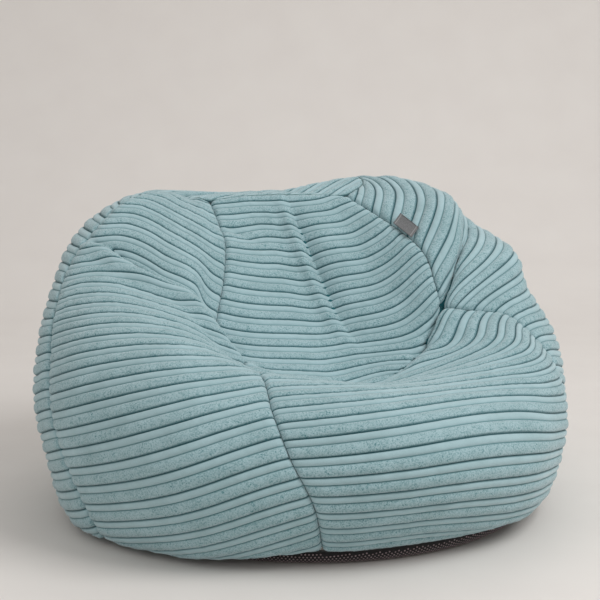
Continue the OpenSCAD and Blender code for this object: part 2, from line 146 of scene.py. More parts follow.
# Folds of the slumped cover. Each is a line on the net of points (u, t, depth, roll): depth is how
# far its valley lies under the skin, and roll how far the roll on its right stands over it, in mm.
# A negative depth lifts the skin. valley, roll_off and roll_w are the valley's half width, and the
# roll's distance and half width.
FOLDS = {
    "left_arm": dict(valley=8, roll_off=14, roll_w=13, cut=True, pinch=4, line=[
        (9.9, 6.62, 0, 0), (10.2, 6.58, 4, 3), (10.6, 6.52, 8, 6), (11.3, 6.34, 10, 8), (11.8, 6.30, 11, 9),
        (12.4, 6.32, 11, 10), (12.9, 6.38, 12, 12), (13.3, 6.42, 12, 15), (13.7, 6.35, 12, 18),
        (14.0, 6.15, 10, 17), (14.3, 5.95, 6, 10), (14.7, 5.8, 0, 1)]),
    "seat_corner": dict(valley=8, roll_off=15, roll_w=14, cut=True, pinch=4.4, line=[
        (2.1, 6.0, 0, 0), (2.4, 6.25, 8, 2), (2.75, 6.75, 16, 5), (3.2, 7.08, 22, 7), (3.64, 7.12, 26, 8),
        (4.0, 7.05, 28, 8), (4.3, 7.1, 25, 6), (4.6, 7.2, 19, 3), (4.9, 7.15, 12, 1), (5.4, 6.8, 3, 0)]),
    "back_crease": dict(valley=10, roll_off=11, roll_w=11, cut=False, line=[
        (1.93, 9.95, 2, 2), (1.96, 9.6, 8, 7), (2.0, 9.2, 12, 9), (2.04, 8.8, 13, 9), (2.08, 8.4, 11, 8),
        (2.13, 7.9, 8, 6), (2.22, 7.4, 4, 3), (2.3, 7.0, 0, 0)]),
    "back_wave": dict(valley=30, roll_off=40, roll_w=22, cut=False, power=1.7, line=[
        (2.95, 9.95, 4, 0), (2.85, 9.5, 8, 3), (2.8, 9.0, 8, 3), (2.8, 8.5, 6, 2), (2.9, 8.0, 2, 0)]),
    "crown_dip": dict(valley=18, roll_off=30, roll_w=14, cut=False, line=[
        (0.05, 9.4, 0, 0), (0.3, 9.3, 7, 2), (0.55, 9.15, 8, 2), (0.8, 9.0, 3, 0), (1.0, 8.9, 0, 0)]),
    "right_shoulder": dict(valley=44, roll_off=30, roll_w=14, cut=False, power=2, line=[
        (4.5, 8.9, 0, 0), (4.9, 8.4, -8, 0), (5.3, 7.9, -13, 0), (5.6, 7.4, -10, 0), (5.8, 6.9, -4, 0),
        (6.0, 6.4, 0, 0)]),
}


# ---- the smooth skin ----

def unit(v):
    return v / np.linalg.norm(v, axis=-1, keepdims=True)


def curve(a, b, c, d, f):
    return 0.5 * (2 * b + (c - a) * f + (2 * a - 5 * b + 4 * c - d) * f ** 2
                  + (3 * b - a - 3 * c + d) * f ** 3)


def on_net(net, u, t):
    """Points of the smooth sheet through a net that is closed round u and open up t."""
    u, t = np.broadcast_arrays(np.asarray(u, float), np.asarray(t, float))
    lines, rows = net.shape[:2]
    k = np.floor(u).astype(int)
    i = np.clip(np.floor(t).astype(int), 0, rows - 2)
    fu = (u - k)[..., None]
    ft = (t - i)[..., None]
    low = 2 * net[:, :1] - net[:, 1:2]
    high = 2 * net[:, -1:] - net[:, -2:-1]
    wide = np.concatenate([low, net, high], 1)
    cols = []
    for j in (-1, 0, 1, 2):
        m = (k + j) % lines
        cols.append(curve(wide[m, i], wide[m, i + 1], wide[m, i + 2], wide[m, i + 3], ft))
    return curve(*cols, fu)


SEAM_LEAN = 2           # lines of the net by which the left seam's foot leans to the front
LEAN_ROWS = 5           # rows over which it does so, from row 1 up


def leaned(u, t):
    """Where the net is read for a point, so that the left seam's foot leans to the front."""
    share = np.minimum((u - BACK) / (LEFT - BACK), (LINES - u) / (LINES - LEFT)).clip(0, 1)
    rise = ((t - 1) / LEAN_ROWS).clip(0, 1)
    return u + SEAM_LEAN * share * (1 - rise * rise * (3 - 2 * rise))


PINCH_REACH = 10        # mm from a fold at which its pinch is strongest
SOFT_SHARE = 0.25       # how softly a point takes its depth from the line's points, in valley widths
INNER_EASE = 15         # mm by which a valley is wider in the liner and the beads
CLOTH_STEPS = 8         # the cloth's grid has this many steps to one line or row of the net
CLOTH_FRAMES = 20
CLOTH_REACH = 0.007     # no point of the cover moves further than this
FOLD_HOLD = 0.022       # at about this distance from a fold the cloth is half held
HOLLOW_HOLD = 0.003     # the cloth is held where it is hollow by this much
FINE_U = 32
FINE_T = 24


class Skin:
    """The skin as a fine net, which folds and the cloth simulation move."""

    def __init__(self):
        u = np.arange(LINES * FINE_U) / FINE_U
        t = np.arange(TOP * FINE_T + 1) / FINE_T
        self.u, self.t = np.meshgrid(u, t, indexing="ij")
        self.net = on_net(NET, leaned(self.u, self.t), self.t)

    def at(self, u, t):
        return on_net(self.net, np.asarray(u) * FINE_U, np.asarray(t) * FINE_T)

    def axes(self, u, t, step=0.01):
        across = (self.at(u + step, t) - self.at(u - step, t)) / (2 * step)
        up = (self.at(u, t + step) - self.at(u, t - step)) / (2 * step)
        return across, up, unit(np.cross(across, up))

    def fold(self, line, valley, roll_off, roll_w, cut, pinch=0, power=1.15, inner=False):
        """Sinks a valley along a line, and lifts a roll beside it, on the line's right.
        The two sides are drawn together over the valley by the pinch, in mm. The inner pieces
        only follow the valley, in a wider and softer form."""
        marks = np.array(line, float)
        spread = np.linspace(0, len(marks) - 1, 24 * len(marks))
        fine = np.stack([np.interp(spread, range(len(marks)), marks[:, c]) for c in range(4)], -1)
        spots = self.at(fine[:, 0], fine[:, 1])
        heading = np.gradient(fine[:, :2], axis=0)
        middle = marks[:, 0].mean()
        du = (self.u - middle + LINES / 2) % LINES - LINES / 2
        near = np.abs(du) < 0.5 * np.ptp(marks[:, 0]) + 1.4
        near &= (self.t > marks[:, 1].min() - 1.8) & (self.t < marks[:, 1].max() + 1.8)
        p = self.net[near]
        gap = np.linalg.norm(p[:, None] - spots[None], axis=-1)
        best = gap.argmin(1)
        off_u = middle + du[near] - fine[best, 0]
        off_t = self.t[near] - fine[best, 1]
        left = heading[best, 0] * off_t - heading[best, 1] * off_u > 0
        x = gap[np.arange(len(p)), best] / MM
        x = np.where(left, x, -x)
        share = np.exp((gap.min(1)[:, None] - gap) / (SOFT_SHARE * valley * MM))
        share /= share.sum(1)[:, None]
        depth = share @ fine[:, 2]
        out = self.axes(self.u[near], self.t[near])[2]
        if inner:
            lift = -np.maximum(depth, 0) * np.exp(-(x / (valley + INNER_EASE)) ** 2)
            self.net[near] = p + out * (lift * MM)[:, None]
            return
        lift = -depth * np.exp(-(np.abs(x) / valley) ** power)
        lift += share @ fine[:, 3] * np.exp(-((x + roll_off) / roll_w) ** 2)
        draw = pinch * np.clip(depth / 12, 0, 1) * np.exp(0.5 - 0.5 * (x / PINCH_REACH) ** 2) / PINCH_REACH
        self.net[near] = p + out * (lift * MM)[:, None] + (spots[best] - p) * draw[:, None]


def beside_cuts(u0, u1, u, t):
    """For each fold that cuts the run of the wales, which side of it every point of a grid is on,
    1 above it, -1 under it and 0 where the fold doesn't reach, and how deep the fold is there."""
    sides = []
    for fold in FOLDS.values():
        marks = np.array(fold["line"], float)
        if not fold["cut"]:
            continue
        for shift in (-LINES, 0, LINES):
            us = marks[:, 0] + shift
            if us[-1] > u0 and us[0] < u1:
                level = np.interp(u, us, marks[:, 1])
                side = np.where((u < us[0]) | (u > us[-1]), 0, np.where(t > level, 1, -1))
                sides.append((side, np.interp(u, us, marks[:, 2])))
    return sides


# ---- noise ----

def noise(points, size, seed):
    """Smooth random values from -1 to 1, with features of about the given size."""
    n = 64
    grid = np.random.RandomState(seed).uniform(-1, 1, (n, n, n))
    q = np.asarray(points) / size
    i = np.floor(q).astype(int)
    f = q - i
    f = f * f * (3 - 2 * f)
    total = 0
    for a in (0, 1):
        for b in (0, 1):
            for c in (0, 1):
                weight = ((f[..., 0] if a else 1 - f[..., 0]) * (f[..., 1] if b else 1 - f[..., 1])
                          * (f[..., 2] if c else 1 - f[..., 2]))
                corner = (i + (a, b, c)) % n
                total = total + weight * grid[corner[..., 0], corner[..., 1], corner[..., 2]]
    return total


# ---- the wales: a height w whose level lines run along the cord ----

CUT_WEIGHT = 0.004      # how much the wales still follow each other across a fold that cuts them


def hinted(lines, table, u, t):
    """The hint table's angle at each point, in degrees."""
    tab = np.array(table, float)
    us = np.array(lines, float)
    i = np.clip(np.searchsorted(us, u, side="right") - 1, 0, len(us) - 2)
    j = np.clip(np.floor(t).astype(int), 0, TOP - 1)
    fu = (u - us[i]) / (us[i + 1] - us[i])
    ft = t - j
    low = (1 - ft) * tab[i, j] + ft * tab[i, j + 1]
    high = (1 - ft) * tab[i + 1, j] + ft * tab[i + 1, j + 1]
    return low + (high - low) * fu


def least_squares(wu, wt, gu, gt):
    """The height on a grid whose steps along u and t come nearest to gu and gt."""
    def flow(du, dt):
        r = np.zeros((wt.shape[0], wu.shape[1]))
        r[1:] += du
        r[:-1] -= du
        r[:, 1:] += dt
        r[:, :-1] -= dt
        return r

    def apply(w):
        return flow(wu * (w[1:] - w[:-1]), wt * (w[:, 1:] - w[:, :-1]))

    weight = np.zeros((wt.shape[0], wu.shape[1]))
    weight[1:] += wu
    weight[:-1] += wu
    weight[:, 1:] += wt
    weight[:, :-1] += wt
    x = np.cumsum(np.concatenate([np.zeros((wt.shape[0], 1)), gt], 1), 1)
    r = flow(wu * gu, wt * gt) - apply(x)
    z = r / weight
    p = z.copy()
    rz = (r * z).sum()
    stop = 1e-14 * max(rz, 1e-30)
    for _ in range(1500):
        ap = apply(p)
        step = rz / (p * ap).sum()
        x += step * p
        r -= step * ap
        z = r / weight
        last, rz = rz, (r * z).sum()
        if rz < stop:
            break
        p = z + rz / last * p
    return x - x.mean()


def wale_heights(skin, u0, u1, lines, table):
    nu = 12 * (u1 - u0) + 1
    nt = 16 * TOP + 1
    u, t = np.meshgrid(np.linspace(u0, u1, nu), np.linspace(0, TOP, nt), indexing="ij")
    p = skin.at(u, t)
    across, _, out = skin.axes(u, t)
    across = unit(across)
    rise = np.cross(out, across)
    turn = np.radians(hinted(lines, table, u, t))[..., None]
    g = np.cos(turn) * rise - np.sin(turn) * across
    eu = p[1:] - p[:-1]
    et = p[:, 1:] - p[:, :-1]
    gu = ((g[1:] + g[:-1]) / 2 * eu).sum(-1)
    gt = ((g[:, 1:] + g[:, :-1]) / 2 * et).sum(-1)
    lu = np.linalg.norm(eu, axis=-1)
    lt = np.linalg.norm(et, axis=-1)
    tall = np.pad((lt[:, 1:] + lt[:, :-1]) / 2, ((0, 0), (1, 1)), mode="edge")
    broad = np.pad((lu[1:] + lu[:-1]) / 2, ((1, 1), (0, 0)), mode="edge")
    wu = (tall[1:] + tall[:-1]) / 2 / lu
    wt = (broad[:, 1:] + broad[:, :-1]) / 2 / lt
    for side, depth in beside_cuts(u0, u1, u, t):
        hold = CUT_WEIGHT ** np.clip((depth - 3) / 9, 0, 1)
        wu *= np.where(side[1:] * side[:-1] < 0, hold[1:], 1)
        wt *= np.where(side[:, 1:] * side[:, :-1] < 0, hold[:, 1:], 1)
    return least_squares(wu, wt, gu, gt)


def bilinear(grid, x, y):
    i = np.clip(np.floor(x).astype(int), 0, grid.shape[0] - 2)
    j = np.clip(np.floor(y).astype(int), 0, grid.shape[1] - 2)
    fx = x - i
    fy = y - j
    return ((1 - fx) * ((1 - fy) * grid[i, j] + fy * grid[i, j + 1])
            + fx * ((1 - fy) * grid[i + 1, j] + fy * grid[i + 1, j + 1]))


def wale_profile(s):
    """Height from 0 to 1 across one period: the wide wale, a soft groove, then the narrow wale."""
    wide = s < SPLIT
    x = np.where(wide, s / SPLIT, (s - SPLIT) / (1 - SPLIT)) * 2 - 1
    floor = 0.14 * np.where(wide, s / SPLIT, (1 - s) / (1 - SPLIT)) ** 3
    ridge = np.clip(1 - np.abs(x) ** 2.6, 0, 1) ** 0.6
    top = np.where(wide, 1.0, 0.82)
    return floor + (top - floor) * ridge


# where the rows of points lie across one period of the wales
ROW_SPOTS = [0, 0.03, 0.085, 0.17, 0.28, 0.39, 0.49, 0.56, 0.59, 0.605, 0.635, 0.70, 0.80, 0.90, 0.96]


def seam_columns(width, coarse=0.0029):
    """Fractions across a panel: close together near the two seams, where the wales end."""
    near = np.array([0, 0.7, 1.4, 2.3, 3.4, 4.8, 6.6, 8.8]) * MM / width
    middle = np.linspace(0.0115 / width, 1 - 0.0115 / width, max(int(width / coarse), 8))
    return np.concatenate([near, middle, 1 - near[::-1]])


# ---- meshes ----

def new_mesh(name, points, faces):
    """A mesh object from an array of points and a list of arrays of faces, one array for each size."""
    mesh = bpy.data.meshes.new(name)
    faces = [np.asarray(f, np.int32) for f in faces if len(f)]
    mesh.vertices.add(len(points))
    mesh.vertices.foreach_set("co", np.asarray(points, np.float32).ravel())
    sizes = np.concatenate([np.full(len(f), f.shape[1]) for f in faces])
    loops = np.concatenate([f.ravel() for f in faces])
    mesh.loops.add(len(loops))
    mesh.loops.foreach_set("vertex_index", loops)
    mesh.polygons.add(len(sizes))
    mesh.polygons.foreach_set("loop_start", np.concatenate([[0], np.cumsum(sizes)[:-1]]))
    mesh.polygons.foreach_set("use_smooth", np.full(len(sizes), True))
    mesh.update(calc_edges=True)
    mesh.validate()
    obj = bpy.data.objects.new(name, mesh)
    bpy.context.scene.collection.objects.link(obj)
    return obj


def add_values(obj, name, values):
    layer = obj.data.attributes.new(name, "FLOAT", "POINT")
    layer.data.foreach_set("value", np.asarray(values, np.float32))


def split_faces(quads):
    """Quads whose corners may repeat, as true quads and true triangles."""
    same = quads == np.roll(quads, -1, 1)
    count = same.sum(1)
    opposite = (quads[:, 0] == quads[:, 2]) | (quads[:, 1] == quads[:, 3])
    full = quads[(count == 0) & ~opposite]
    three = quads[(count == 1) & ~opposite]
    drop = three == np.roll(three, -1, 1)
    tris = three[~drop].reshape(-1, 3)
    return full, tris


def zip_loops(outer, inner):
    """Triangles between two closed loops. Each loop is a list of (place round the loop, vertex)."""
    faces = []
    na, nb = len(outer), len(inner)
    i = j = 0
    while i < na or j < nb:
        place_a = outer[(i + 1) % na][0] + (1 if i + 1 >= na else 0)
        place_b = inner[(j + 1) % nb][0] + (1 if j + 1 >= nb else 0)
        if j >= nb or (i < na and place_a <= place_b):
            faces.append((outer[i % na][1], inner[j % nb][1], outer[(i + 1) % na][1]))
            i += 1
        else:
            faces.append((outer[i % na][1], inner[j % nb][1], inner[(j + 1) % nb][1]))
            j += 1
    return faces


def grid_quads(ids):
    """The quads between the vertices of a grid."""
    return np.stack([ids[:-1, :-1], ids[1:, :-1], ids[1:, 1:], ids[:-1, 1:]], -1).reshape(-1, 4)


def ring_quads(rings, n):
    """The quads between closed rings of n vertices."""
    i = np.arange(n)
    after = (i + 1) % n
    rows = np.arange(rings - 1)[:, None] * n
    return np.stack([rows + i, rows + after, rows + n + after, rows + n + i], -1).reshape(-1, 4)


def side_loop(ids):
    """The rim of a grid of vertices, from its first corner, with places from 0 to 1 round it."""
    sides = [ids[:, 0], ids[-1, :], ids[::-1, -1], ids[0, ::-1]]
    loop = []
    for k, side in enumerate(sides):
        n = len(side) - 1
        for m in range(n):
            if not loop or loop[-1][1] != side[m]:
                loop.append(((k + m / n) / 4, side[m]))
    while len(loop) > 1 and loop[-1][1] == loop[0][1]:
        loop.pop()
    return loop


def cord_sheet(name, columns, t, w, place, ease):
    """A panel of cord. place(c, t) gives points and normals, and w the wale height at each
    (column, t). Its rows lie along the wales. ease(c, t, points) fades the wales at the rim."""
    w = np.maximum.accumulate(w, 1) + 1e-7 * np.arange(w.shape[1])
    first = math.floor(w.min() / PERIOD)
    last = math.ceil(w.max() / PERIOD)
    levels = np.concatenate([m + np.array(ROW_SPOTS) for m in range(first, last)] + [[last]])
    nc, nr = len(columns), len(levels)
    rows = np.empty((nc, nr))
    low = np.empty(nc, int)
    high = np.empty(nc, int)
    for k in range(nc):
        rows[k] = np.interp(levels * PERIOD, w[k], t)
        low[k] = np.searchsorted(levels * PERIOD, w[k, 0], side="right") - 1
        high[k] = np.searchsorted(levels * PERIOD, w[k, -1], side="left")
    low = np.clip(low, 0, nr - 1)
    high = np.clip(high, 0, nr - 1)
    step = np.clip(np.arange(nr)[None], low[:, None], high[:, None])
    ids = np.arange(nc)[:, None] * nr + step
    c = columns[:, None].repeat(nr, 1)
    points, out = place(c, rows)
    edge = levels[None].repeat(nc, 0)
    edge[np.arange(nc), low] = w[:, 0] / PERIOD
    edge[np.arange(nc), high] = w[:, -1] / PERIOD
    fade, sink = ease(c, rows, points)
    s = edge - np.floor(edge)
    lump = 1 + 0.10 * noise(points, 0.016, 5) + 0.08 * noise(points, 0.005, 6)
    body = np.where((s > 0.02) & (s < 0.98), lump, 1)
    rise = WALE_H * (wale_profile(s) * body - 0.66) * fade - sink
    rise += 0.0004 * noise(points, 0.003, 7) * (wale_profile(s) > 0.6)
    points = points + out * rise[..., None]
    full, tris = split_faces(grid_quads(ids))

    # the inner face, on a coarse grid, and the hem that joins it to the outer face
    ci = np.unique(np.round(np.linspace(0, nc - 1, 36)).astype(int))
    ti = np.linspace(0, 1, 61)
    cc = columns[ci][:, None].repeat(len(ti), 1)
    tt = (t[0] + (t[-1] - t[0]) * ti)[None].repeat(len(ci), 0)
    inner, inner_out = place(cc, tt)
    _, inner_sink = ease(cc, tt, inner)
    inner = inner - inner_out * (CORD_T + inner_sink)[..., None]
    inner_ids = nc * nr + np.arange(len(ci) * len(ti)).reshape(len(ci), len(ti))
    back = grid_quads(inner_ids)[:, ::-1]
    heights = (rows - t[0]) / (t[-1] - t[0])
    outer_loop = rim_loop(ids, low, high, np.arange(nc) / (nc - 1), heights)
    first_row, last_row = np.zeros(len(ci), int), np.full(len(ci), len(ti) - 1)
    inner_loop = rim_loop(inner_ids, first_row, last_row, ci / (nc - 1), np.array([ti, ti]))
    hem = zip_loops(outer_loop, inner_loop)

    every = np.concatenate([points.reshape(-1, 3), inner.reshape(-1, 3)])
    values = np.concatenate([edge.ravel(), np.zeros(inner_ids.size)])
    seams = np.concatenate([fade.ravel(), np.zeros(inner_ids.size)])
    used, groups = compact([full, tris, back, np.array(hem)])
    obj = new_mesh(name, every[used], groups)
    add_values(obj, "wale", values[used])
    add_values(obj, "off_seam", seams[used])
    return obj


def rim_loop(ids, low, high, shares, heights):
    """The rim of a face, with places from 0 to 1 that match the other face's. low and high are each
    column's first and last row, shares the columns' places across, and heights the rows' places up."""
    last = len(shares) - 1
    loop = [(shares[k] / 4, ids[k, low[k]]) for k in range(last)]
    loop += [((1 + heights[-1, r]) / 4, ids[-1, r]) for r in range(low[-1], high[-1])]
    loop += [((3 - shares[k]) / 4, ids[k, high[k]]) for k in range(last, 0, -1)]
    loop += [((4 - heights[0, r]) / 4, ids[0, r]) for r in range(high[0], low[0], -1)]
    return loop


def compact(groups):
    used = np.unique(np.concatenate([g.ravel() for g in groups if len(g)]))
    where = np.full(used.max() + 1, -1)
    where[used] = np.arange(len(used))
    return used, [where[g] for g in groups if len(g)]


# ---- materials ----

def linear(r, g, b):
    """A colour given as 0 to 255 in sRGB."""
    out = []
    for v in (r, g, b):
        v /= 255
        out.append(v / 12.92 if v <= 0.04045 else ((v + 0.055) / 1.055) ** 2.4)
    return (*out, 1)


class Shade:
    """A material built node by node, with short calls for the nodes that this file uses."""

    def __init__(self, name, roughness, sheen=0.0, metallic=0.0, specular=0.5):
        self.mat = bpy.data.materials.new(name)
        self.mat.use_nodes = True
        self.tree = self.mat.node_tree
        self.bsdf = self.tree.nodes["Principled BSDF"]
        self.bsdf.inputs["Roughness"].default_value = roughness
        self.bsdf.inputs["Sheen Weight"].default_value = sheen
        self.bsdf.inputs["Sheen Roughness"].default_value = 0.5
        self.bsdf.inputs["Metallic"].default_value = metallic
        self.bsdf.inputs["Specular IOR Level"].default_value = specular

    def node(self, kind, **inputs):
        node = self.tree.nodes.new(kind)
        for key, value in inputs.items():
            self.put(node.inputs[key], value)
        return node

    def put(self, socket, value):
        if isinstance(value, bpy.types.NodeSocket):
            self.tree.links.new(value, socket)
        else:
            socket.default_value = value

    def coords(self):
        return self.node("ShaderNodeTexCoord").outputs["Object"]

    def value(self, name):
        node = self.node("ShaderNodeAttribute")
        node.attribute_name = name
        return node.outputs["Fac"]

    def math(self, operation, a, b=0.0):
        node = self.tree.nodes.new("ShaderNodeMath")
        node.operation = operation
        for socket, v in zip(node.inputs, (a, b)):
            self.put(socket, v)
        return node.outputs[0]

    def ramp(self, fac, stops):
        node = self.tree.nodes.new("ShaderNodeValToRGB")
        while len(node.color_ramp.elements) < len(stops):
            node.color_ramp.elements.new(0.5)
        for element, (place, level) in zip(node.color_ramp.elements, stops):
            element.position = place
            element.color = (level, level, level, 1)
        self.put(node.inputs[0], fac)
        return node.outputs["Color"]

    def rise(self, fac, a, b):
        """0 up to a, and 1 from b on."""
        return self.ramp(fac, [(a, 0.0), (b, 1.0)])

    def mix(self, fac, a, b):
        node = self.tree.nodes.new("ShaderNodeMix")
        node.data_type = "RGBA"
        self.put(node.inputs[0], fac)
        self.put(node.inputs[6], a)
        self.put(node.inputs[7], b)
        return node.outputs[2]

    def noise(self, where, scale, detail=2.0, rough=0.5, distortion=0.0):
        return self.node("ShaderNodeTexNoise", Vector=where, Scale=scale, Detail=detail,
                         Roughness=rough, Distortion=distortion).outputs["Fac"]

    def cells(self, where, scale):
        return self.node("ShaderNodeTexVoronoi", Vector=where, Scale=scale).outputs["Distance"]

    def bump(self, height, strength, distance):
        node = self.node("ShaderNodeBump", Height=height, Strength=strength, Distance=distance)
        self.put(self.bsdf.inputs["Normal"], node.outputs["Normal"])

    def colour(self, value):
        self.put(self.bsdf.inputs["Base Color"], value)


def cord_material(name, deep, groove, wide, light):
    """Jumbo cord: a napped wide wale with tufts, a smoother narrow wale, and painted shade in the grooves
    and at the seams and end rings.
    """
    m = Shade(name, 0.92, sheen=0.35, specular=0.15)
    where = m.coords()
    s = m.math("FRACT", m.value("wale"))
    in_wide = m.ramp(s, [(0.0, 0.0), (0.02, 1.0), (SPLIT - 0.03, 1.0), (SPLIT, 0.0)])
    tufts = m.noise(where, 560, 3.0, 0.7, 0.6)
    fine = m.noise(where, 1500, 2.0, 0.6)
    patches = m.noise(where, 26, 3.0, 0.6)
    brushed = m.noise(where, 90, 2.0, 0.55)
    spots = m.ramp(tufts, [(0.35, 1.0), (0.44, 0.45), (0.53, 0.0)])
    spots = m.math("MULTIPLY", spots, m.ramp(brushed, [(0.3, 0.45), (0.65, 1.0)]))
    base = m.mix(m.rise(patches, 0.3, 0.7), wide, light)
    narrow = m.mix(0.15, base, light)
    napped = m.mix(spots, base, groove)
    napped = m.mix(m.ramp(tufts, [(0.56, 0.0), (0.7, 0.7)]), napped, light)
    body = m.mix(in_wide, narrow, napped)
    body = m.mix(m.ramp(fine, [(0.3, 0.16), (0.7, 0.0)]), body, groove)
    # painted shade in the soft groove between the wide and the narrow wale, in the groove colour
    soft = m.ramp(s, [(SPLIT - 0.045, 0.0), (SPLIT, 0.95), (SPLIT + 0.04, 0.0)])
    body = m.mix(soft, body, groove)
    # painted shade: the hard groove between one period and the next, and the cord at the seams and end
    # rings where the wales sink, take the deep colour
    line = m.ramp(s, [(0.0, 1.0), (0.04, 0.65), (0.095, 0.0), (0.935, 0.0), (0.97, 0.6), (1.0, 1.0)])
    line = m.math("MAXIMUM", line, m.ramp(m.value("off_seam"), [(0.1, 0.9), (0.35, 0.45), (0.62, 0.0)]))
    m.colour(m.mix(line, body, deep))
    height = m.math("ADD", m.math("MULTIPLY", tufts, m.math("ADD", m.math("MULTIPLY", in_wide, 0.8), 0.2)),
                    m.math("MULTIPLY", fine, 0.25))
    m.bump(height, 0.55, 0.0016)
    return m.mat


# deep is painted shade for the hard grooves, seams and end rings; groove is painted shade for the soft
# groove, and also tints the dark tufts and fine flecks
CORD = dict(deep=linear(10, 82, 90), groove=linear(60, 115, 121), wide=linear(149, 176, 181),
            light=linear(162, 189, 195))


def woven_material(name, dark, light, pitch, rough=0.85, sheen=0.1):
    """A plain weave, with threads the given distance apart."""
    m = Shade(name, rough, sheen=sheen, specular=0.3)
    where = m.coords()
    parts = m.node("ShaderNodeSeparateXYZ", Vector=where)
    turn = 2 * math.pi / pitch
    a = m.math("SINE", m.math("MULTIPLY", parts.outputs["X"], turn))
    b = m.math("SINE", m.math("MULTIPLY", m.math("ADD", parts.outputs["Y"], parts.outputs["Z"]), turn))
    weave = m.math("MULTIPLY", a, b)
    slub = m.noise(where, 0.25 / pitch, 2.0, 0.6)
    level = m.math("ADD", m.math("MULTIPLY", weave, 0.3), slub)
    m.colour(m.mix(m.rise(level, 0.25, 0.75), dark, light))
    m.bump(m.math("ADD", weave, slub), 0.35, pitch * 0.3)
    return m.mat


def moulded_material(name, dark, light, rough, metallic=0.0):
    """Moulded plastic or cast metal: faint light and dark mottling, rougher where it is lighter, and fine
    grain.
    """
    m = Shade(name, rough, metallic=metallic)
    where = m.coords()
    wear = m.noise(where, 160, 4.0, 0.6)
    grain = m.noise(where, 2400, 2.0, 0.5)
    m.colour(m.mix(m.rise(wear, 0.35, 0.75), dark, light))
    m.put(m.bsdf.inputs["Roughness"], m.math("ADD", m.math("MULTIPLY", wear, 0.25), rough - 0.12))
    m.bump(grain, 0.25, 0.0003)
    return m.mat


def thread_material(name, dark, light):
    m = Shade(name, 0.6, sheen=0.2)
    where = m.coords()
    fibre = m.noise(where, 2600, 2.0, 0.6)
    m.colour(m.mix(fibre, dark, light))
    m.bump(fibre, 0.4, 0.0003)
    return m.mat


def bead_material(name):
    m = Shade(name, 0.7, specular=0.3)
    where = m.coords()
    bead = m.cells(where, 250)
    tint = m.noise(where, 60, 2.0)
    white = m.mix(m.rise(tint, 0.35, 0.65), linear(228, 228, 224), linear(246, 246, 243))
    # painted shade: grey in the gaps between the beads, where the distance from a bead's middle is large
    m.colour(m.mix(m.rise(bead, 0.35, 0.75), white, linear(150, 150, 146)))
    m.bump(m.math("SUBTRACT", 1.0, bead), 0.8, 0.002)
    return m.mat


def tag_material(name):
    """Grey woven tape with a lighter line near each end, and nothing written on it."""
    m = Shade(name, 0.8, sheen=0.15, specular=0.3)
    where = m.coords()
    along = m.value("along")
    rib = m.math("SINE", m.math("MULTIPLY", along, 260.0))
    pick = m.math("SINE", m.math("MULTIPLY", m.value("across"), 150.0))
    weave = m.math("MULTIPLY", rib, pick)
    slub = m.noise(where, 900, 2.0, 0.6)
    body = m.mix(m.ramp(m.math("ADD", m.math("MULTIPLY", weave, 0.25), slub), [(0.25, 0.0), (0.8, 1.0)]),
                 linear(88, 90, 92), linear(134, 135, 136))
    edge = m.math("ABSOLUTE", m.math("SUBTRACT", along, 0.5))
    line = m.ramp(edge, [(0.0, 0.0), (0.395, 0.0), (0.405, 0.55), (0.425, 0.55), (0.435, 0.0)])
    m.colour(m.mix(line, body, linear(176, 176, 176)))
    m.bump(m.math("ADD", weave, slub), 0.4, 0.0004)
    return m.mat


def dress_nodes():
    """Gives every CAD node that stays in view its own material."""
    black_cloth = woven_material("base_cloth", linear(15, 14, 15), linear(33, 30, 32), 0.0013, 0.8)
    looks = dict.fromkeys(("base_front_half", "base_rear_half", "cover_zip_garage"), black_cloth)
    black_tape = woven_material("cover_zip_tape", linear(20, 21, 23), linear(46, 48, 50), 0.0009, 0.75)
    white_tape = woven_material("liner_zip_tape", linear(196, 194, 186), linear(232, 230, 224),
                                0.0009, 0.75)
    black_teeth = moulded_material("cover_zip_teeth", linear(28, 29, 31), linear(52, 54, 57), 0.4)
    white_teeth = moulded_material("liner_zip_teeth", linear(198, 196, 188), linear(226, 224, 218), 0.4)
    dark_metal = moulded_material("cover_zip_slider", linear(44, 46, 48), linear(96, 98, 100), 0.42, 0.9)
    pale_metal = moulded_material("liner_zip_slider", linear(150, 152, 154), linear(200, 201, 203),
                                   0.36, 0.9)
    for layer, tape, teeth, metal in (("cover", black_tape, black_teeth, dark_metal),
                                      ("liner", white_tape, white_teeth, pale_metal)):
        for side in ("front", "rear"):
            looks[f"{layer}_zip_tape_{side}"] = tape
            looks[f"{layer}_zip_teeth_{side}"] = teeth
            looks[f"liner_base_{side}"] = bpy.data.materials["liner_polyester"]
        looks[f"{layer}_zip_slider"] = metal
        looks[f"{layer}_zip_stops"] = metal
    for name, material in looks.items():
        paint(NODES[name], material)


def paint(obj, material):
    obj.data.materials.clear()
    obj.data.materials.append(material)


def finish_piece(obj, material, slot, *nodes, body="root"):
    paint(obj, material)
    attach(obj, body)
    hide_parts(*nodes)


# ---- the cord cover ----

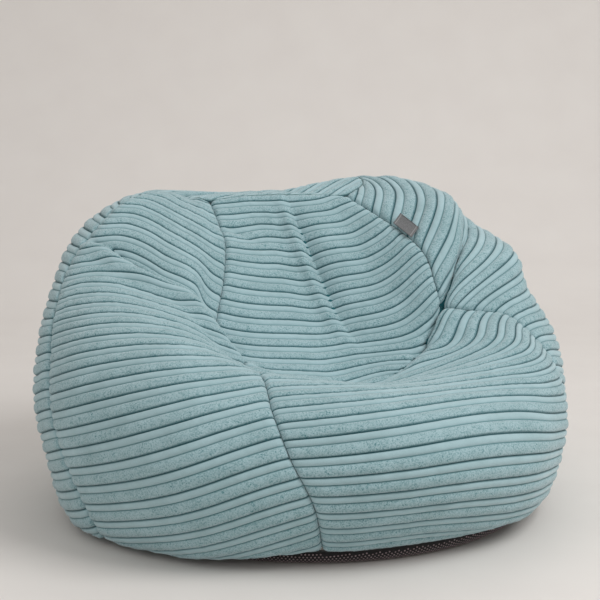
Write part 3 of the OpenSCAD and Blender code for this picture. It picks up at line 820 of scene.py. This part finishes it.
def settle(skin):
    """Lets the cover settle as cloth that the beads press outward, held along its seams, its folds
    and its two end rings. What it moves is softly limited and passed on to the skin."""
    columns, rows = CLOTH_STEPS * LINES, CLOTH_STEPS * TOP + 1
    u, t = np.meshgrid(np.arange(columns) / CLOTH_STEPS, np.arange(rows) / CLOTH_STEPS, indexing="ij")
    rest = skin.at(u, t)
    ids = np.arange(columns * rows).reshape(columns, rows)
    quads = grid_quads(np.concatenate([ids, ids[:1]]))
    obj = new_mesh("cover_cloth", rest.reshape(-1, 3), [quads])
    held = np.zeros((columns, rows))
    for seam in (FRONT, RIGHT, BACK, LEFT):
        held[seam * CLOTH_STEPS] = 1
    held[:, :2] = 1
    held[:, -2:] = 1
    for fold in FOLDS.values():
        marks = np.array(fold["line"], float)
        spread = np.linspace(0, len(marks) - 1, 8 * len(marks))
        line = [np.interp(spread, range(len(marks)), marks[:, c]) for c in (0, 1)]
        spots = skin.at(*line)
        near = np.linalg.norm(rest[:, :, None] - spots, axis=-1).min(-1)
        held = np.maximum(held, np.clip(1.6 - near / FOLD_HOLD, 0, 1))
    wide = np.concatenate([rest[-8:], rest, rest[:8]])
    middle = (wide[16:, 8:-8] + wide[:-16, 8:-8] + wide[8:-8, 16:] + wide[8:-8, :-16]) / 4
    hollow = ((middle - rest[:, 8:-8]) * skin.axes(u, t)[2][:, 8:-8]).sum(-1)
    held[:, 8:-8] = np.maximum(held[:, 8:-8], np.clip(hollow / HOLLOW_HOLD, 0, 1))
    group = obj.vertex_groups.new(name="held")
    for index, weight in enumerate(held.ravel()):
        if weight > 0:
            group.add([index], float(weight), "REPLACE")
    cloth = obj.modifiers.new("cloth", "CLOTH")
    cloth.settings.quality = 5
    cloth.settings.mass = 0.3
    cloth.settings.tension_stiffness = 15
    cloth.settings.compression_stiffness = 15
    cloth.settings.shear_stiffness = 12
    cloth.settings.bending_stiffness = 1.0
    cloth.settings.use_pressure = True
    cloth.settings.uniform_pressure_force = 10
    cloth.settings.vertex_group_mass = "held"
    cloth.settings.effector_weights.gravity = 0
    cloth.collision_settings.use_collision = False
    scene = bpy.context.scene
    for step in range(1, CLOTH_FRAMES + 1):
        scene.frame_set(step)
    shaped = obj.evaluated_get(bpy.context.evaluated_depsgraph_get())
    moved = np.empty(columns * rows * 3)
    shaped.data.vertices.foreach_get("co", moved)
    scene.frame_set(1)
    bpy.data.objects.remove(obj)
    moved = moved.reshape(columns, rows, 3) - rest
    far = np.linalg.norm(moved, axis=-1, keepdims=True)
    moved *= CLOTH_REACH / (CLOTH_REACH + far)
    skin.net = skin.net + on_net(moved, skin.u * CLOTH_STEPS, skin.t * CLOTH_STEPS)


def build_skin(inner=False):
    skin = Skin()
    for fold in FOLDS.values():
        skin.fold(**fold, inner=inner)
    if not inner:
        settle(skin)
    return skin


def seam_gap_to(skin, t, points, seams):
    """Distance of each point from the nearest of the lines u = seam."""
    gaps = [np.linalg.norm(points - skin.at(np.full_like(t, seam), t), axis=-1) for seam in seams]
    return np.min(gaps, 0)


def eased(d, reach):
    x = np.clip(d / reach, 0, 1)
    return np.sqrt(np.clip(1 - (1 - x) ** 2, 0, 1))


def rim_ease(d):
    """How far the wales have risen at a distance from an end ring, and how deep the cord sinks."""
    return eased(d, RIM_FADE), RIM_DIP * np.exp(-d / RIM_DIP_W)


def cord_panel(skin, name, material):
    u0, lines, table = PANELS[name]
    u1 = lines[-1]
    heights = wale_heights(skin, u0, u1, lines, table)
    mid = skin.at(np.linspace(u0, u1, 60), np.full(60, 4.0))
    width = np.linalg.norm(np.diff(mid, axis=0), axis=1).sum()
    columns = u0 + (u1 - u0) * seam_columns(width)
    t = np.linspace(0, TOP, 801)
    cx = (columns - u0) / (u1 - u0) * (heights.shape[0] - 1)
    w = bilinear(heights, cx[:, None] + 0 * t, (t / TOP * (heights.shape[1] - 1))[None] + 0 * cx[:, None])

    def place(c, tt):
        _, _, out = skin.axes(c, tt)
        return skin.at(c, tt), out

    def ease(c, tt, points):
        side = seam_gap_to(skin, tt, points, (u0, u1))
        ring = np.minimum(np.linalg.norm(points - skin.at(c, 0 * tt), axis=-1),
                          np.linalg.norm(points - skin.at(c, 0 * tt + TOP), axis=-1))
        risen, dip = rim_ease(ring)
        fade = RIM_WALE + (1 - RIM_WALE) * eased(side, SEAM_FADE) * risen
        sink = SEAM_DIP * np.exp(-(side / SEAM_DIP_W) ** 1.2) + SEAM_SAG * np.exp(-side / SEAM_SAG_W)
        return fade, sink + dip

    obj = cord_sheet(name + "_cord", columns, t, w, place, ease)
    finish_piece(obj, material, "cord", name)


def crown_cap(skin, material):
    """The oval cap of the crown: its wales run across the top of the panels."""
    n = 224
    ring = skin.at(np.arange(n) * LINES / n, np.full(n, float(TOP)))
    mid = CROWN_MID
    along = np.array([math.cos(CROWN_TURN), math.sin(CROWN_TURN)])
    rise = np.array([-along[1], along[0]])
    flat = ring[:, :2] - mid[:2]
    angle = np.arctan2(flat[:, 1], flat[:, 0])
    order = np.argsort(angle)
    angle, radius, level = angle[order], np.linalg.norm(flat, axis=1)[order], ring[order, 2]
    angle = np.concatenate([angle - 2 * np.pi, angle, angle + 2 * np.pi])
    radius, level = np.tile(radius, 3), np.tile(level, 3)

    def height(xy):
        a = np.arctan2(xy[..., 1], xy[..., 0])
        r = np.linalg.norm(xy, axis=-1)
        g = np.clip(1 - r / np.interp(a, angle, radius), 0, 1)
        edge = np.interp(a, angle, level)
        top = edge + (mid[2] - edge) * g + CROWN_DOME * np.sin(np.pi / 2 * g)
        return top, g * np.interp(a, angle, radius)

    x = flat @ along
    y = flat @ rise
    c = np.linspace(x.min() * 0.995, x.max() * 0.995, 90)
    low, high = [], []
    for v in c:
        cuts = []
        for k in range(n):
            a, b = x[k] - v, x[(k + 1) % n] - v
            if a * b < 0:
                cuts.append(y[k] + (y[(k + 1) % n] - y[k]) * a / (a - b))
        low.append(min(cuts))
        high.append(max(cuts))
    low, high = np.array(low), np.array(high)
    t = np.linspace(0, 1, 201)
    w = low[:, None] + (high - low)[:, None] * t

    def spot(cc, tt):
        yy = np.interp(cc, c, low) + (np.interp(cc, c, high) - np.interp(cc, c, low)) * tt
        xy = cc[..., None] * along + yy[..., None] * rise
        z, inside = height(xy)
        return np.concatenate([xy + mid[:2], z[..., None]], -1), inside

    def place(cc, tt):
        p, _ = spot(cc, tt)
        e = 0.0008
        out = np.zeros_like(p)
        for k, step in enumerate(((e, 0), (0, e))):
            xy = p[..., :2] - mid[:2] + np.array(step)
            out[..., k] = -(height(xy)[0] - p[..., 2]) / e
        out[..., 2] = 1
        return p, unit(out)

    def ease(cc, tt, points):
        risen, dip = rim_ease(spot(cc, tt)[1])
        return RIM_WALE + (1 - RIM_WALE) * risen, dip

    obj = cord_sheet("crown_cap_cord", c, t, w, place, ease)
    finish_piece(obj, material, "cord", "crown_cap")


# ---- the liner and the beads ----

def shell(name, outer, inner):
    """A closed thin shell between two grids of points of one size."""
    nu, nt = outer.shape[:2]
    ids = np.arange(nu * nt).reshape(nu, nt)
    front = grid_quads(ids)
    back = grid_quads(ids + nu * nt)[:, ::-1]
    rim = np.array([v for _, v in side_loop(ids)])
    after = np.roll(rim, -1)
    hem = np.stack([rim, rim + nu * nt, after + nu * nt, after], -1)
    points = np.concatenate([outer.reshape(-1, 3), inner.reshape(-1, 3)])
    return new_mesh(name, points, [front, back, hem])


def near_crown(t):
    """0 down the bag and 1 at the crown, where the inner pieces lie deeper."""
    return np.clip((t - 8.5) / 1.5, 0, 1) ** 2


def liner_panel(skin, name, u0, u1, material):
    """A panel of the liner, which wrinkles a little under the cord."""
    columns = np.linspace(u0 + 0.012, u1 - 0.012, 14 * (u1 - u0))
    u, t = np.meshgrid(columns, np.linspace(0.22, 9.9, 120), indexing="ij")
    out = skin.axes(u, t)[2]
    sink = 0.004 * near_crown(t)
    outer = skin.at(u, t) - out * (LINER_DEPTH + sink)[..., None]
    outer += out * (0.0007 * noise(outer, 0.03, 21))[..., None]
    obj = shell(name + "_fabric", outer, outer - out * LINER_T)
    finish_piece(obj, material, "liner_fabric", name)


def closed_rings(name, loops, low_point, high_point):
    """A closed solid through rings of points, from the lowest ring to the highest."""
    n = loops.shape[1]
    points = np.concatenate([loops.reshape(-1, 3), [low_point], [high_point]])
    i = np.arange(n)
    after = (i + 1) % n
    low, high = len(points) - 2, len(points) - 1
    last = (len(loops) - 1) * n
    caps = np.concatenate([np.stack([np.full(n, low), after, i], -1),
                           np.stack([np.full(n, high), last + i, last + after], -1)])
    return new_mesh(name, points, [ring_quads(len(loops), n), caps])


def domed(edge, mid, dome, shares):
    """Rings from an edge ring in to the middle of a dome."""
    rings = []
    for g in shares:
        rings.append(edge + (mid - edge) * g + np.array([0, 0, dome * math.sin(math.pi / 2 * g)]))
    return np.array(rings)


def under_skin(skin, u, t, depth):
    p = skin.at(u, t) - skin.axes(u, t)[2] * depth
    p[..., 2] -= depth * near_crown(t)
    return p


def liner_top(skin, material):
    u = np.arange(224) * LINES / 224
    edge = under_skin(skin, u, np.full_like(u, 9.93), LINER_DEPTH)
    mid = CROWN_MID - np.array([0, 0, 1.3 * LINER_DEPTH])
    shares = np.linspace(0.02, 0.96, 22)
    top = domed(edge, mid, CROWN_DOME, shares)
    top[..., 2] += 0.0007 * noise(top, 0.02, 22)
    thick = np.array([0, 0, LINER_T])
    peak = mid + np.array([0, 0, CROWN_DOME])
    obj = closed_rings("liner_top_fabric", np.concatenate([top[::-1] - thick, top]), peak - thick, peak)
    finish_piece(obj, material, "liner_fabric", "liner_top")


def bead_fill(skin, material):
    """The beads as the one lump that they fill, with a bump for every bead."""
    n = 420
    u = np.arange(n) * LINES / n
    rows = np.linspace(0.25, 9.9, 210)
    grid_u, grid_t = np.meshgrid(u, rows)
    body = under_skin(skin, grid_u, grid_t, FILL_DEPTH)
    rim = skin.at(u, 0 * u)
    rim[:, 2] = 0
    rim = unit(rim)
    floor_z = 0.0145
    floor_rings = ((0.06, 0), (0.15, 0), (0.23, 0), (0.266, 0.0005), (0.286, 0.004), (0.297, 0.0095))
    low = [rim * r + np.array([0, 0, floor_z + rise]) for r, rise in floor_rings]
    mid = CROWN_MID - np.array([0, 0, 1.3 * FILL_DEPTH])
    top = domed(body[-1], mid, CROWN_DOME, np.linspace(0.08, 0.95, 16))
    loops = np.concatenate([low, body, top])
    outward = unit(loops - np.array([0, 0, 0.15]))
    pebble = np.maximum(noise(loops, 0.0042, 31), noise(loops, 0.0042, 32))
    pebble[:len(low)] = 0
    loops = loops + outward * (0.0009 * pebble)[..., None]
    peak = mid + np.array([0, 0, CROWN_DOME])
    obj = closed_rings("bead_fill_beads", loops, np.array([0, 0, floor_z]), peak)
    finish_piece(obj, material, "beads", "bead_fill")


# ---- the base: dots on the fabric, and the labels ----

def grip_dots(node, material):
    """Small round dots of grip on the underside of the base, in rows, on one half."""
    source = NODES[node]
    tree = BVHTree.FromPolygons([v.co for v in source.data.vertices],
                                [tuple(f.vertices) for f in source.data.polygons])
    reach = BASE_FLAT_R + BASE_CURL * math.pi / 2
    row_pitch = DOT_PITCH * 0.866

    def lay(x, y):
        """Where a spot of the flat fabric lies once its edge is curled up."""
        s = math.hypot(x, y)
        turn = max(s - BASE_FLAT_R, 0) / BASE_CURL
        r = min(s, BASE_FLAT_R) + BASE_CURL * math.sin(turn)
        return Vector((x / s * r, y / s * r, BASE_CURL * (1 - math.cos(turn))))

    centres, outs = [], []
    half_rows = int(reach / row_pitch)
    half_across = int(reach / DOT_PITCH)
    beside = ((DOT_MARGIN, 0), (-DOT_MARGIN, 0), (0, DOT_MARGIN), (0, -DOT_MARGIN))
    for j in range(-half_rows, half_rows + 1):
        y = (j + 0.25) * row_pitch
        for i in range(-half_across, half_across + 1):
            x = (i + 0.5 * (j % 2) + 0.25) * DOT_PITCH
            if math.hypot(x, y) > reach - DOT_MARGIN:
                continue
            hit, normal, _, gap = tree.find_nearest(lay(x, y))
            if gap > DOT_OFF:
                continue
            if any(tree.find_nearest(lay(x + dx, y + dy))[3] > DOT_OFF for dx, dy in beside):
                continue
            centres.append(hit)
            outs.append(normal)
    centres, outs = np.array(centres), np.array(outs)
    side = unit(np.cross(outs, [0.1, 1, 0.05]))
    front = np.cross(outs, side)
    n = len(centres)
    points = np.empty((n, 12, 3))
    for k in range(6):
        a = math.pi / 3 * k
        ray = math.cos(a) * side + math.sin(a) * front
        points[:, k] = centres + ray * DOT_R - outs * DOT_SUNK
        points[:, 6 + k] = centres + ray * DOT_R * 0.62 + outs * DOT_PROUD
    base = np.arange(n)[:, None] * 12
    quads = np.concatenate([base + np.array([k, (k + 1) % 6, 6 + (k + 1) % 6, 6 + k]) for k in range(6)])
    lids = np.concatenate([base + np.arange(6, 12), base + np.arange(5, -1, -1)])
    obj = new_mesh(node + "_grip_dots", points.reshape(-1, 3), [quads, lids])
    paint(obj, material)
    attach(obj, "root")


def brand_tag(skin, material):
    """A blank woven tag, folded over on itself and sewn into the right seam by its two ends."""
    length, width, ply, gap = 0.040, 0.019, 0.0005, 0.0002
    t0 = 8.5
    t1 = t0 + length / np.linalg.norm(skin.axes(np.array(float(RIGHT)), np.array(t0))[1])
    t = np.linspace(t0, t1, 26)
    uu = np.full_like(t, float(RIGHT))
    across, _, out = skin.axes(uu + 0.02, t)
    across = across.mean(0) / np.linalg.norm(across.mean(0))
    out = out.mean(0) / np.linalg.norm(out.mean(0))
    root = skin.at(uu, t)
    root = root[:1] + (root[-1:] - root[:1]) * np.linspace(0, 1, len(t))[:, None]
    r = ply + gap / 2
    bend = np.linspace(-math.pi / 2, math.pi / 2, 9)

    def face(q):
        """One face of the folded tag: out along one ply, round the fold and back along the other."""
        fold = [(width - r + q * math.cos(a), q * math.sin(a)) for a in bend]
        return ([(x, -q) for x in np.linspace(0, width - r, 14)] + fold
                + [(x, q) for x in np.linspace(width - r, 0, 14)])

    section = np.array(face(r) + face(gap / 2)[::-1])
    lift = 0.0030 + 0.0022 * (section[:, 0] / width) ** 2
    wave = 0.0005 * np.sin(np.linspace(0, 3.2, len(t)))[:, None] * (section[:, 0] / width)[None]
    points = (root[:, None] + section[None, :, :1] * across
              + (section[:, 1] + lift + wave)[..., None] * out)
    n = len(section)
    j = np.arange(n // 2 - 1)
    end = np.stack([j, n - 1 - j, n - 2 - j, j + 1], -1)
    last = (len(t) - 1) * n
    faces = [ring_quads(len(t), n), end, (last + end)[:, ::-1]]
    obj = new_mesh("brand_tag_woven", points.reshape(-1, 3), faces)
    add_values(obj, "across", np.tile(section[:, 0] / width, len(t)))
    add_values(obj, "along", np.repeat(np.linspace(0, 1, len(t)), n))
    finish_piece(obj, material, "tag_fabric", "brand_tag")


def care_label(skin, material):
    """A blank white ribbon that lies on the back panel, with its free end a little lifted."""
    length, width, ply = 0.048, 0.026, 0.0004
    t0 = 1.05
    across, up, _ = skin.axes(np.array(BACK + 0.1), np.array(t0))
    du = length / np.linalg.norm(across)
    dt = width / np.linalg.norm(up)
    u, t = np.meshgrid(np.linspace(BACK, BACK + du, 40), np.linspace(t0, t0 + dt, 24), indexing="ij")
    out = skin.axes(u, t)[2]
    share = (u - BACK) / du
    height = 0.0030 + 0.004 * share ** 3 + 0.0006 * np.sin(7 * share) * np.sin(3 * (t - t0) / dt)
    outer = skin.at(u, t) + out * (height + ply)[..., None]
    obj = shell("care_label_ribbon", outer, outer - out * ply)
    finish_piece(obj, material, "label_fabric", "care_label")


# ---- threads ----

def twisted_thread(name, path, outs, closed, material, slot, node):
    """Two plies twisted round each other along a path."""
    sides = 6
    pitch = 0.0036
    if closed:
        path, outs = np.concatenate([path, path[:1]]), np.concatenate([outs, outs[:1]])
    far = np.concatenate([[0], np.cumsum(np.linalg.norm(np.diff(path, axis=0), axis=1))])
    total = far[-1]
    n = int(total / 0.0007)
    turns = round(total / pitch)
    s = np.arange(n) / n * total if closed else np.linspace(0, total, n)
    p = np.stack([np.interp(s, far, path[:, k]) for k in range(3)], -1)
    o = np.stack([np.interp(s, far, outs[:, k]) for k in range(3)], -1)
    along = unit(np.roll(p, -1, 0) - np.roll(p, 1, 0) if closed else np.gradient(p, axis=0))
    side = unit(np.cross(along, o))
    lift = np.cross(side, along)
    points, faces, caps = [], [], []
    for ply in (0, 1):
        a = 2 * np.pi * turns * s / total + np.pi * ply
        centre = p + THREAD_R * 0.9 * (np.cos(a)[:, None] * side + np.sin(a)[:, None] * lift)
        start = ply * n * sides
        for k in range(sides):
            b = 2 * np.pi * k / sides
            points.append(centre + THREAD_R * (math.cos(b) * side + math.sin(b) * lift))
        i = np.arange(n if closed else n - 1)
        nxt = (i + 1) % n
        for k in range(sides):
            kk = (k + 1) % sides
            faces.append(np.stack([start + k * n + i, start + kk * n + i,
                                   start + kk * n + nxt, start + k * n + nxt], -1))
        if not closed:
            caps.append([start + k * n for k in range(sides)][::-1])
            caps.append([start + k * n + n - 1 for k in range(sides)])
    groups = [np.concatenate(faces)] + ([np.array(caps)] if caps else [])
    obj = new_mesh(name, np.concatenate(points), groups)
    finish_piece(obj, material, slot, node)


def seam_threads(skin, cord_thread, base_thread):
    """A thread sunk in each of the four seams up the bag, and one round each of its two ends."""
    for name, u in (("front", FRONT), ("right", RIGHT), ("back", BACK), ("left", LEFT)):
        t = np.linspace(0.06, TOP - 0.1, 400)
        uu = np.full_like(t, float(u))
        out = skin.axes(uu, t)[2]
        path = skin.at(uu, t) - out * (SEAM_DIP + SEAM_SAG + THREAD_SUNK)
        twisted_thread(f"{name}_seam_stitching", path, out, False, cord_thread, "seam_thread",
                       f"{name}_seam_thread")
    u = np.arange(560) * LINES / 560
    for name, t, material, slot in (("crown", TOP, cord_thread, "seam_thread"),
                                    ("base", 0, base_thread, "base_thread")):
        tt = np.full_like(u, float(t))
        out = skin.axes(u, np.full_like(u, 9.9 if t else 0.1))[2]
        path = skin.at(u, tt) - out * 0.002
        twisted_thread(f"{name}_seam_stitching", path, out, True, material, slot, f"{name}_seam_thread")


# ---- stage, light and camera ----

def backdrop():
    """A floor that sweeps up into a wall behind the bag, without a line between the two."""
    bend, start, side, rise = 1.2, 1.3, 9.0, 4.0
    angle = np.linspace(0, math.pi / 2, 25)
    path = [(-6.0, 0.0), (0.0, 0.0)]
    path += [(start + bend * math.sin(a), bend * (1 - math.cos(a))) for a in angle]
    path += [(start + bend, bend + rise)]
    points = [(x, y, z + FLOOR_Z) for y, z in path for x in (-side, side)]
    quads = np.array([[2 * k, 2 * k + 1, 2 * k + 3, 2 * k + 2] for k in range(len(path) - 1)])
    return new_mesh("floor", np.array(points), [quads])


def stage():
    floor = backdrop()
    m = Shade("floor_matte", 0.8, specular=0.2)
    m.colour(m.mix(m.noise(m.coords(), 8, 2.0), linear(214, 210, 206), linear(220, 217, 213)))
    paint(floor, m.mat)
    world = bpy.data.worlds.new("studio")
    bpy.context.scene.world = world
    world.use_nodes = True
    world.node_tree.nodes["Background"].inputs["Color"].default_value = linear(236, 232, 230)
    world.node_tree.nodes["Background"].inputs["Strength"].default_value = 0.75
    lamps = (("key", (1.7, -0.9, 2.2), 1.5, 44), ("fill", (-1.9, -1.7, 1.7), 2.2, 9),
             ("back", (0.3, 2.2, 2.4), 2.0, 14))
    for name, place, size, power in lamps:
        lamp = bpy.data.lights.new(name, "AREA")
        lamp.size = size
        lamp.energy = power
        obj = bpy.data.objects.new(name, lamp)
        obj.location = place
        obj.rotation_euler = (Vector((0, 0, 0.2)) - Vector(place)).to_track_quat("-Z", "Y").to_euler()
        bpy.context.scene.collection.objects.link(obj)


def camera():
    cam = bpy.data.cameras.new("camera")
    cam.lens = 75.8
    cam.sensor_width = 36
    obj = bpy.data.objects.new("camera", cam)
    tilt_down, turn_left = 0.14624, 0.00738
    obj.location = (-0.0013, -1.7199, 0.5228)
    obj.rotation_euler = (math.pi / 2 - tilt_down, 0, turn_left)
    bpy.context.scene.collection.objects.link(obj)
    bpy.context.scene.camera = obj
    bpy.context.scene.view_settings.view_transform = "Standard"


camera()
stage()
skin = build_skin()
inside = build_skin(inner=True)
cord = cord_material("cord_duck_egg", **CORD)
for panel in PANELS:
    cord_panel(skin, panel, cord)
crown_cap(skin, cord)
liner = woven_material("liner_polyester", linear(205, 203, 196), linear(238, 236, 230), 0.0011)
liner_panel(inside, "liner_front_panel", LEFT, LINES + RIGHT, liner)
liner_panel(inside, "liner_back_panel", RIGHT, LEFT, liner)
liner_top(inside, liner)
bead_fill(inside, bead_material("polystyrene_beads"))
brand_tag(skin, tag_material("tag_weave"))
care_label(skin, woven_material("label_satin", linear(214, 212, 206), linear(244, 243, 239), 0.0006, 0.45))
rubber = moulded_material("grip_dots", linear(128, 112, 114), linear(168, 150, 152), 0.6)
for half in ("base_front_half", "base_rear_half"):
    grip_dots(half, rubber)
dress_nodes()
seam_threads(skin, thread_material("cord_thread", linear(84, 118, 120), linear(120, 152, 154)),
             thread_material("base_thread", linear(34, 38, 40), linear(58, 62, 64)))
